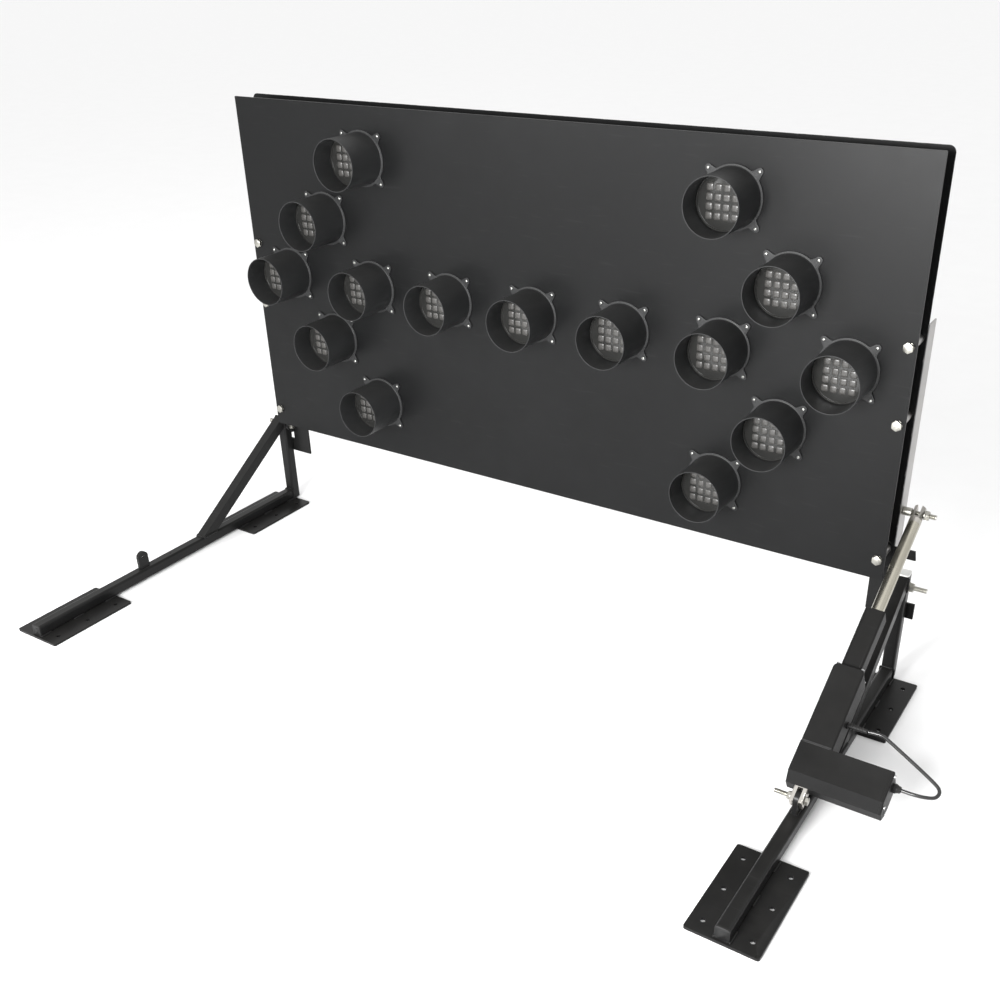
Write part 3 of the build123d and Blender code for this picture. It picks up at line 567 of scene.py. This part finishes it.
class ARROW_OT_hoods(bpy.types.Operator):
    """Turned hoods with a rounded mouth, a filleted root and a flange with four screw ears"""

    bl_idname = "arrow.hoods"
    bl_label = "Hoods"

    def execute(self, context):
        size = context.scene.arrow_lamps
        for number in range(1, LAMP_COUNT + 1):
            node = f"lamp_hood_{number:02d}"
            low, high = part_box(node)
            centre = np.array([(low.x + high.x) / 2, high.y, (low.z + high.z) / 2])
            flange = (high.x - low.x) / 2
            mouth = high.y - low.y
            outer = flange - 4.5 * MM
            inner = outer - size.hood_wall
            rise = size.flange_height
            corners = [(inner, 0), (flange, 0), (flange, rise), (outer, rise),
                       (outer - 0.4 * MM, mouth), (inner - 0.1 * MM, mouth)]
            radii = [0.3 * MM, 0.5 * MM, 1.0 * MM, 3.0 * MM, 0.9 * MM, 0.9 * MM]
            reach = size.ear_reach + size.ear_radius - flange

            def ears(angle, radius, height):
                turn = np.mod(angle, np.pi / 2) - np.pi / 4
                lobe = reach * np.exp(-(np.abs(turn) / 0.125) ** 3.4)
                share = np.clip((radius - flange + 2.2 * MM) / (1.8 * MM), 0, 1)
                return radius + lobe * share, height

            shape = turned(rounded_outline(corners, radii), centre, (0, -1, 0), 160, ears, closed=True)
            place(f"hood_{number:02d}", fill_mesh(node, shape), "board",
                  finishes["hood_plastic"], [node], sharp=45)
        return {"FINISHED"}


def lamp_centres():
    """Centre of each hood's seat on the front sheet."""
    boxes = [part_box(f"lamp_hood_{number:02d}") for number in range(1, LAMP_COUNT + 1)]
    return np.array([((low.x + high.x) / 2, high.y, (low.z + high.z) / 2) for low, high in boxes])


class ARROW_OT_lenses(bpy.types.Operator):
    """Domed lenses with a bezel ring and a square grid of raised cells"""

    bl_idname = "arrow.lenses"
    bl_label = "Lenses"

    def execute(self, context):
        size = context.scene.arrow_lamps
        centres = lamp_centres()
        low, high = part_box("lamp_lenses")
        seat = high.y
        crown = 3.0 * MM
        thick = high.y - low.y - crown
        radius = (high.x - low.x - (centres[:, 0].max() - centres[:, 0].min())) / 2
        reach = np.linspace(0, 0.93, 12)
        dome = [(radius * r, thick + crown * (1 - r * r)) for r in reach]
        rim = [(radius * 0.94, thick + 1.9 * MM), (radius * 0.975, thick + 2.1 * MM),
               (radius, thick + 1.2 * MM), (radius, 0), (0, 0)]
        disc = turned(dome + rim, (0, 0, 0), (0, -1, 0), 72)
        offsets = centres * (1, 0, 1) + (0, seat, 0)
        place("lens_discs", fill_mesh("lens_discs", repeated(disc, offsets)), "board",
              finishes["lens_ground"], ["lamp_lenses"], sharp=50)

        half = size.pillow_half
        profile = [(0, 1.0), (0.35, 0.97), (0.62, 0.86), (0.84, 0.62), (0.97, 0.2), (1.0, -0.35),
                   (0, -0.35)]

        def squircle(angle, r, h):
            corner = (np.abs(np.cos(angle)) ** 5 + np.abs(np.sin(angle)) ** 5) ** -0.2
            return r * corner * half, h * size.pillow_rise
        cell = turned(profile, (0, 0, 0), (0, -1, 0), 24, squircle)
        steps = (np.arange(4) - 1.5) * size.pillow_pitch
        across, up = (line.ravel() for line in np.meshgrid(steps, steps))
        proud = thick + crown * (1 - (across**2 + up**2) / radius**2) - 0.2 * MM
        grid = np.stack([across, -proud, up], 1)
        lattice = (offsets[:, None] + grid[None]).reshape(-1, 3)
        place("lens_cells", fill_mesh("lens_cells", repeated(cell, lattice)), "board",
              finishes["lens_cell"], sharp=60)
        return {"FINISHED"}


class ARROW_OT_hood_screws(bpy.types.Operator):
    """Pan-head screws with a cross recess at the four ears of every hood"""

    bl_idname = "arrow.hood_screws"
    bl_label = "Hood screws"

    def execute(self, context):
        size = context.scene.arrow_lamps
        head, rise = size.screw_radius, 2.4 * MM
        profile = [(0, 1.0), (0.12, 1.0), (0.2, 0.99), (0.3, 0.98), (0.42, 0.95), (0.5, 0.93),
                   (0.62, 0.88), (0.78, 0.76), (0.92, 0.5), (1.0, 0.2), (1.0, 0), (0, 0)]

        def crossed(angle, r, h):
            near = np.minimum(np.abs(np.sin(angle)), np.abs(np.cos(angle))) * r
            inside = (near < 0.12) & (r < 0.46) & (h > 0.9)
            return r * head, (h - 0.5 * inside) * rise
        shape = turned(profile, (0, 0, 0), (0, -1, 0), 24, crossed)
        offset = size.ear_reach / math.sqrt(2)
        corners = np.array([(a * offset, -size.flange_height, b * offset)
                            for a in (-1, 1) for b in (-1, 1)])
        places = (lamp_centres()[:, None] + corners[None]).reshape(-1, 3)
        place("ear_screws", fill_mesh("ear_screws", repeated(shape, places)), "board",
              finishes["screw_steel"], ["hood_screws"], sharp=35)
        return {"FINISHED"}


class ARROW_OT_rounded_pieces(bpy.types.Operator):
    """Sheets, channels, brackets, tubes, plates and housings with rounded edges"""

    bl_idname = "arrow.rounded_pieces"
    bl_label = "Rounded pieces"

    def execute(self, context):
        widths = {
            0.4: ["front_panel", "back_panel"],
            0.7: ["frame_rails", "left_side_channel", "right_side_channel", "left_hinge_bracket",
                  "right_hinge_bracket", "front_foot_plates", "rear_foot_plates", "rear_clevis",
                  "rod_fork"],
            0.9: ["actuator_ears", "left_post", "right_post", "left_base_tube", "right_base_tube"],
            1.6: ["left_brace", "right_brace"],
            2.0: ["gear_housing"],
            1.0: ["outer_tube"],
        }
        for width, nodes in widths.items():
            for node in nodes:
                rounded_copy(node, f"{node}_edged", width * MM, finishes[FINISH_OF_SLOT[SLOT_OF[node]]])
        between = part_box("left_post")[1].z - 40 * MM
        rounded_copy("tube_caps", "post_caps", 0.9 * MM, finishes["pale_cap"], (between, 9.0))
        rounded_copy("tube_caps", "base_plugs", 0.9 * MM, finishes["black_rubber"], (-1.0, between))
        return {"FINISHED"}


class ARROW_OT_fasteners(bpy.types.Operator):
    """Board bolts, pivot bolts, the lower pin and the upper stud, with threads, nuts and washers"""

    bl_idname = "arrow.fasteners"
    bl_label = "Fasteners"

    def execute(self, context):
        size = context.scene.arrow_steel
        flats, radius = size.bolt_flats, size.bolt_radius
        pitch, depth = size.thread_pitch, size.thread_depth
        zinc = finishes["zinc_plate"]

        low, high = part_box("channel_bolts")
        nut_low, nut_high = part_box("channel_nuts")
        bolt_x = high.x - flats / math.sqrt(3)
        lowest, highest = low.z + flats / 2, high.z - flats / 2
        heights = [lowest, highest, highest - 0.14]
        spots = np.array([(side * bolt_x, 0, z) for side in (-1, 1) for z in heights])
        head = 6.4 * MM
        seat = low.y + head
        board_bolt = joined([
            hex_block((0, seat, 0), (0, -1, 0), flats, head),
            washer((0, seat + 0.2 * MM, 0), (0, -1, 0), radius, flats * 0.53, 1.2 * MM),
            threaded((0, seat, 0), (0, 1, 0), radius, high.y - seat, pitch, depth)])
        place("board_bolts", fill_mesh("board_bolts", repeated(board_bolt, spots)), "board",
              zinc, ["channel_bolts"], sharp=35)
        board_nut = hex_block((0, nut_low.y, 0), (0, 1, 0), flats, nut_high.y - nut_low.y, nut=True)
        place("board_nuts", fill_mesh("board_nuts", repeated(board_nut, spots)), "board",
              zinc, ["channel_nuts"], sharp=35)

        low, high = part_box("pivot_bolts")
        post_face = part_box("right_post")[1].x
        axis_y, axis_z = middle("pivot_nuts")[1:]
        parts, nuts = [], []
        for _, side in SIDES:
            outwards = (side, 0, 0)
            seat = side * post_face
            start = np.array([side * PIVOT_BOLT_START, axis_y, axis_z])
            parts.append(hex_block(start + (side * 5.5 * MM, 0, 0), (-side, 0, 0), flats, head))
            parts.append(threaded(start, outwards, radius, high.x - PIVOT_BOLT_START, pitch, depth))
            nuts.append(washer((seat, axis_y, axis_z), outwards, radius + SEAT_GAP, 10 * MM, 2 * MM))
            nuts.append(hex_block((seat + side * 2 * MM, axis_y, axis_z), outwards, flats, 8 * MM,
                                  nut=True))
        place("pivot_bolt_set", fill_mesh("pivot_bolt_set", joined(parts)), "root",
              zinc, ["pivot_bolts"], sharp=35)
        place("pivot_nut_set", fill_mesh("pivot_nut_set", joined(nuts)), "root",
              zinc, ["pivot_nuts"], sharp=35)

        low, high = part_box("lower_pivot_bolt")
        spot = middle("lower_pivot_bolt")
        clevis_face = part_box("rear_clevis")[0].x
        pin_radius, pin_flats = 4 * MM, 13 * MM
        pin = joined([
            threaded((low.x, spot[1], spot[2]), (1, 0, 0), pin_radius, high.x - low.x, 1.25 * MM, 0.65 * MM),
            hex_block((high.x - 5.9 * MM, spot[1], spot[2]), (1, 0, 0), pin_flats, 5.5 * MM, nut=True),
            hex_block((clevis_face - 0.5 * MM, spot[1], spot[2]), (-1, 0, 0), pin_flats, 6.0 * MM, nut=True),
            washer((clevis_face - 0.1 * MM, spot[1], spot[2]), (-1, 0, 0), pin_radius + SEAT_GAP,
                   2 * pin_radius, 1.4 * MM)])
        place("lower_pin", fill_mesh("lower_pin", pin), "root", zinc,
              ["lower_pivot_bolt"], sharp=35)

        low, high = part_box("upper_stud")
        spot = middle("upper_stud")
        fork_low, fork_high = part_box("rod_fork")
        here = np.array([0, spot[1], spot[2]])
        sleeve_radius, sleeve_length = 8 * MM, fork_low.x - low.x - SEAT_GAP
        sleeve = [(0, 0), (sleeve_radius, 0), (sleeve_radius, sleeve_length), (0, sleeve_length)]
        stud = joined([
            threaded(here + (low.x, 0, 0), (1, 0, 0), radius, high.x - low.x, pitch, depth),
            turned(rounded_outline(sleeve, [0, MM, MM, 0], closed=False),
                   here + (low.x, 0, 0), (1, 0, 0), 40),
            washer(here + (fork_high.x + SEAT_GAP, 0, 0), (1, 0, 0), radius, 9 * MM, 2 * MM),
            hex_block(here + (fork_high.x + 2.2 * MM, 0, 0), (1, 0, 0), flats, 7 * MM, nut=True)])
        place("upper_stud_set", fill_mesh("upper_stud_set", stud), "rod", zinc,
              ["upper_stud"], sharp=35)
        return {"FINISHED"}


class ARROW_OT_welds(bpy.types.Operator):
    """Rippled weld beads where tubes, plates, braces, ears and lugs meet"""

    bl_idname = "arrow.welds"
    bl_label = "Welds"

    def execute(self, context):
        size = context.scene.arrow_steel
        beads, lug_beads = [], []
        plate_low, plate_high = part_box("rear_foot_plates")
        floor_top = plate_high.z
        rear_plate = (plate_low.y + plate_high.y) / 2
        plate_step, half_bead, brace_foot = 84 * MM, 14 * MM, 46 * MM
        for name, side in SIDES:
            tube_low, tube_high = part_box(f"{name}_base_tube")
            post_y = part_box(f"{name}_post")[0].y
            brace_low, brace_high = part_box(f"{name}_brace")
            ear_low, ear_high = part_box("actuator_ears")
            faces = (tube_low.x - 0.6 * MM, tube_high.x + 0.6 * MM)
            for face in faces:
                for plate in (-rear_plate, rear_plate):
                    for step in (-plate_step, 0, plate_step):
                        y = plate + step
                        beads.append(((face, y - half_bead, floor_top + 0.8 * MM),
                                      (face, y + half_bead, floor_top + 0.8 * MM)))
                beads.append(((face, post_y, floor_top + 2 * MM), (face, post_y, tube_high.z)))
                beads.append(((face, brace_low.y + 2 * MM, tube_high.z + 0.4 * MM),
                              (face, brace_low.y + brace_foot, tube_high.z + 0.4 * MM)))
                beads.append(((face, post_y, brace_high.z - 33 * MM), (face, post_y, brace_high.z - MM)))
            across_z = tube_high.z + 0.6 * MM
            for y in (post_y - MM, brace_low.y - 0.5 * MM, brace_low.y + brace_foot):
                beads.append(((tube_low.x + 2 * MM, y, across_z), (tube_high.x - 2 * MM, y, across_z)))
            tube_x = (tube_low.x + tube_high.x) / 2
            ear_half = 4 * MM
            for face in (-ear_half, ear_half):
                beads.append(((tube_x + face, ear_low.y + MM, tube_high.z + 0.5 * MM),
                              (tube_x + face, ear_high.y - MM, tube_high.z + 0.5 * MM)))
            for face in LUG_FACES:
                lug_beads.append(((side * face, LUG_EDGE_Y, LUG_BEAD_LOW),
                                  (side * face, LUG_EDGE_Y, LUG_BEAD_HIGH)))
        seams = (("frame_welds", beads, "root", 1.0), ("lug_welds", lug_beads, "board", 0.7))
        for name, lines, body, share in seams:
            shape = joined([bead(a, b, share * size.weld_radius, size.weld_ripple) for a, b in lines])
            place(name, fill_mesh(name, shape), body, finishes["frame_coat"], sharp=60)
        return {"FINISHED"}


# Directions of the actuator: along its axis, and across it upwards and forwards.
rod_joint = next(joint for joint in frame["joints"] if joint["name"] == "rod_slide")
actuator_foot = np.array(rod_joint["pos_m"])
along = unit(rod_joint["axis"])
above = np.array([0, -along[2], along[1]])


def on_actuator(x, distance, height):
    """Point given by its X from the actuator's axis, its distance along it and its height above it."""
    return actuator_foot + np.array([x, 0, 0]) + distance * along + height * above


class ARROW_OT_actuator_trim(bpy.types.Operator):
    """Cover screws, gaskets and the wiper ring of the actuator"""

    bl_idname = "arrow.actuator_trim"
    bl_label = "Actuator trim"

    def execute(self, context):
        def band(half, distance, thick, corner=6 * MM):
            """Closed rounded-square ring: the outline carried through a thin round section."""
            outline = rounded_outline([(-half, -half), (half, -half), (half, half), (-half, half)],
                                      [corner] * 4)
            turn = np.linspace(0, 2 * np.pi, 8, endpoint=False)
            swell = 1 + np.cos(turn)[:, None] * thick / half
            x = outline[None, :, 0] * swell
            up = outline[None, :, 1] * swell
            rise = np.sin(turn)[:, None] * thick + distance + 0 * x
            points = (actuator_foot + x[..., None] * np.array([1.0, 0, 0])
                      + rise[..., None] * along + up[..., None] * above)
            return grid_mesh(points, True, True)

        gasket = band(26.6 * MM, HOUSING_SEAM, 0.9 * MM)
        place("housing_gasket", fill_mesh("housing_gasket", gasket), "actuator",
              finishes["black_rubber"], sharp=60)

        profile = [(0, 0.45), (0.5, 0.45), (0.56, 1.0), (0.86, 1.0), (1.0, 0.8), (1.0, -0.4), (0, -0.4)]

        def socket_head(angle, r, h):
            """Screw head with a hexagonal socket between the shares 0.4 and 0.6 of its radius."""
            turn = np.mod(angle, np.pi / 3) - np.pi / 6
            hexagon = 0.87 / np.cos(turn)
            inner = (r > 0.4) & (r < 0.6)
            return np.where(inner, r * hexagon, r) * 3.2 * MM, h * 2.0 * MM

        apart = 21 * MM
        spots = [(on_actuator(across, COVER_END, height), along)
                 for across in (-apart, apart) for height in (-apart, apart)]
        for distance, half in ((30 * MM, 0.55 * apart), (82 * MM, apart)):
            spots += [(on_actuator(MOTOR_END, distance, height), (1, 0, 0)) for height in (-half, half)]
        screws = joined([turned(profile, spot, axis, 24, socket_head) for spot, axis in spots])
        place("cover_screws", fill_mesh("cover_screws", screws), "actuator",
              finishes["machined_steel"], sharp=35)

        rod_low, rod_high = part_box("rod_tube")
        lip = (rod_high.x - rod_low.x) / 2 + 0.15 * MM
        seal_low, seal_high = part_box("rod_seal")
        flange = (seal_high.x - seal_low.x) / 2
        bore = 14.3 * MM
        corners = [(lip, -8 * MM), (bore, -8 * MM), (bore, 0.3 * MM), (flange, 0.3 * MM),
                   (flange - 0.3 * MM, 1.6 * MM), (lip + 1.4 * MM, 2.6 * MM), (lip, 2.0 * MM)]
        wiper = rounded_outline(corners, [0.2 * MM] * 2 + [0.1 * MM] + [0.5 * MM] * 4)
        ring = turned(wiper, on_actuator(0, TUBE_END, 0), along, 56, closed=True)
        place("wiper_ring", fill_mesh("wiper_ring", ring), "actuator",
              finishes["black_rubber"], ["rod_seal"], sharp=50)
        return {"FINISHED"}


class ARROW_OT_motor_cable(bpy.types.Operator):
    """Motor cable, its ribbed boot on the housing and its gland on the motor's end"""

    bl_idname = "arrow.motor_cable"
    bl_label = "Motor cable"

    def execute(self, context):
        size = context.scene.arrow_cable
        route = [(62.5, 154.0, -6.0), (82.0, 157.5, -5.0), (104.0, 147.5, -5.0), (186.0, 105.5, -4.0),
                 (200.0, 94.5, -4.0), (197.5, 80.5, -4.0), (181.0, 75.0, -3.0), (162.5, 72.8, -2.0),
                 (144.5, 73.0, -2.0)]
        curve = bpy.data.curves.new("cable_run", "CURVE")
        curve.dimensions = "3D"
        curve.bevel_depth = size.diameter / 2
        curve.bevel_resolution = 6
        curve.resolution_u = 24
        curve.use_fill_caps = True
        line = curve.splines.new("NURBS")
        line.points.add(len(route) - 1)
        for point, (x, distance, height) in zip(line.points, route):
            point.co = (*on_actuator(x * MM, distance * MM, height * MM), 1)
        line.order_u = 3
        line.use_endpoint_u = True
        cable = bpy.data.objects.new("cable_run", curve)
        context.scene.collection.objects.link(cable)
        curve.materials.append(finishes["cable_jacket"])
        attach(cable, "actuator")
        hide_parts("motor_cable")

        ribs = [(0, -0.1), (6.6, -0.1), (6.6, 1.6), (5.2, 2.4)]
        for rib in range(5):
            at = 4.5 + rib * 4.6
            ribs += [(4.9 - rib * 0.2, at), (5.3 - rib * 0.2, at + 0.8), (5.3 - rib * 0.2, at + 2.4),
                     (4.8 - rib * 0.2, at + 3.2)]
        ribs += [(3.8, 28.5), (3.7, 32.6), (3.2, 33.1), (0, 33.1)]
        start = on_actuator(27.1 * MM, 154.0 * MM, -6.0 * MM)
        softening = [0] + [0.5 * MM] * (len(ribs) - 2) + [0]
        outline = rounded_outline(np.array(ribs) * MM, softening, closed=False, steps=3)
        boot = turned(outline, start, (1, 0, 0), 36)
        sleeve = place("boot_ribbed", fill_mesh("boot_ribbed", boot), "actuator",
                       finishes["black_rubber"], ["cable_boot"], sharp=50)

        # Radii of 2 and 3 are marks for hex_law, not lengths.
        nose = [(0, 0), (2, 0), (3, 6.0), (6.9, 6.0), (6.9, 7.2), (6.2, 8.0), (5.9, 10.6), (5.0, 12.6),
                (3.2, 13.2), (0, 13.2)]
        end = on_actuator(MOTOR_END + SEAT_GAP, 73.0 * MM, -2.0 * MM)
        profile = [(r if r in (0, 2, 3) else r * MM, h * MM) for r, h in nose]
        gland = turned(profile, end, (1, 0, 0), 48, hex_law(15 * MM, 6 * MM))
        cap = place("gland_nose", fill_mesh("gland_nose", gland), "actuator",
                    finishes["black_rubber"], ["cable_gland"], sharp=35)
        return {"FINISHED"}


class ARROW_OT_stage(bpy.types.Operator):
    """Pale floor, soft studio lights and the camera"""

    bl_idname = "arrow.stage"
    bl_label = "Stage"

    def execute(self, context):
        scene = context.scene
        floor_colour = tuple(scene.arrow_colours.floor)
        floor_finish = finish_material(
            "studio_floor", floor_colour, darker(floor_colour, 0.985), 0.75, 0.03, scale=300, depth=0.01)
        reach, floor_height = 30.0, -0.4 * MM
        corners = [(-reach, -reach), (reach, -reach), (reach, reach), (-reach, reach)]
        mesh = bpy.data.meshes.new("studio_floor")
        mesh.from_pydata([(x, y, floor_height) for x, y in corners], [], [(0, 1, 2, 3)])
        mesh.materials.append(floor_finish)
        floor = bpy.data.objects.new("studio_floor", mesh)
        scene.collection.objects.link(floor)

        world = bpy.data.worlds.new("studio")
        scene.world = world
        world.use_nodes = True
        sky = world.node_tree
        direction = wire(sky, "ShaderNodeTexCoord").outputs["Generated"]
        height = wire(sky, "ShaderNodeSeparateXYZ", {0: direction}).outputs[2]
        tone = blended(sky, ranged(sky, height, 0.0, 1.0, 0.0, 0.55), (0.8, 0.8, 0.8), (1, 1, 1))
        sky.links.new(tone, sky.nodes["Background"].inputs[0])
        sky.nodes["Background"].inputs[1].default_value = 1.08
        scene.view_settings.view_transform = "Standard"

        # Place, aim, width and power of each light.
        lights = {
            "corner_glow": ((0.35, -2.5, 1.15), (0.75, 0.3, 0.98), 1.0, 170),
            "edge_glow": ((-1.5, -2.3, 1.2), (-0.3, 0.3, 0.9), 1.2, 36),
            "top_wash": ((0.6, 0.6, 4.2), (0, 0.2, 0.0), 3.4, 12),
        }
        for name, (spot, target, width, power) in lights.items():
            lamp = bpy.data.lights.new(name, "AREA")
            lamp.shape = "SQUARE"
            lamp.size = width
            lamp.energy = power
            item = bpy.data.objects.new(name, lamp)
            scene.collection.objects.link(item)
            item.visible_camera = False
            item.location = spot
            aim = np.array(target) - np.array(spot)
            item.rotation_euler = (math.acos(-aim[2] / np.linalg.norm(aim)), 0,
                                   math.atan2(aim[1], aim[0]) - math.pi / 2)

        # The camera that was fitted to the photo.
        view = bpy.data.cameras.new("studio_camera")
        view.sensor_width = 36
        view.lens = 40.71
        view.shift_x = -0.0336
        view.shift_y = 0.0563
        camera = bpy.data.objects.new("studio_camera", view)
        scene.collection.objects.link(camera)
        camera.location = (1.2082, -1.5128, 1.3076)
        camera.rotation_euler = [math.radians(turn) for turn in (60.863, 0.988, 32.558)]
        scene.camera = camera
        return {"FINISHED"}


class ARROW_PT_sidebar(bpy.types.Panel):
    """Lists the sizes, colours and pieces of the board"""

    bl_idname = "ARROW_PT_sidebar"
    bl_label = "Arrow board"
    bl_space_type = "VIEW_3D"
    bl_region_type = "UI"
    bl_category = "Arrow board"

    def draw(self, context):
        for title, settings in (("Lamps", "arrow_lamps"), ("Steelwork", "arrow_steel"),
                                ("Cable", "arrow_cable"), ("Colours", "arrow_colours")):
            group = getattr(context.scene, settings)
            box = self.layout.box()
            box.label(text=title)
            for key in group.__annotations__:
                box.prop(group, key)
        for operator in OPERATORS:
            self.layout.operator(operator.bl_idname)


GROUPS = {"arrow_lamps": LampSizes, "arrow_steel": SteelSizes, "arrow_cable": CableSizes,
          "arrow_colours": Colours}
OPERATORS = (ARROW_OT_finishes, ARROW_OT_stage, ARROW_OT_hoods, ARROW_OT_lenses, ARROW_OT_hood_screws,
             ARROW_OT_rounded_pieces, ARROW_OT_fasteners, ARROW_OT_welds, ARROW_OT_actuator_trim,
             ARROW_OT_motor_cable)


def register():
    """Adds the sizes, operators and the panel to Blender."""
    for item in (*GROUPS.values(), *OPERATORS, ARROW_PT_sidebar):
        bpy.utils.register_class(item)
    for name, group in GROUPS.items():
        setattr(bpy.types.Scene, name, bpy.props.PointerProperty(type=group))


def unregister():
    """Takes them out again."""
    for name in GROUPS:
        delattr(bpy.types.Scene, name)
    for item in reversed((*GROUPS.values(), *OPERATORS, ARROW_PT_sidebar)):
        bpy.utils.unregister_class(item)


def main():
    """Runs every operator in order."""
    register()
    for operator in OPERATORS:
        group, name = operator.bl_idname.split(".")
        getattr(getattr(bpy.ops, group), name)()


if __name__ == "__main__":
    main()
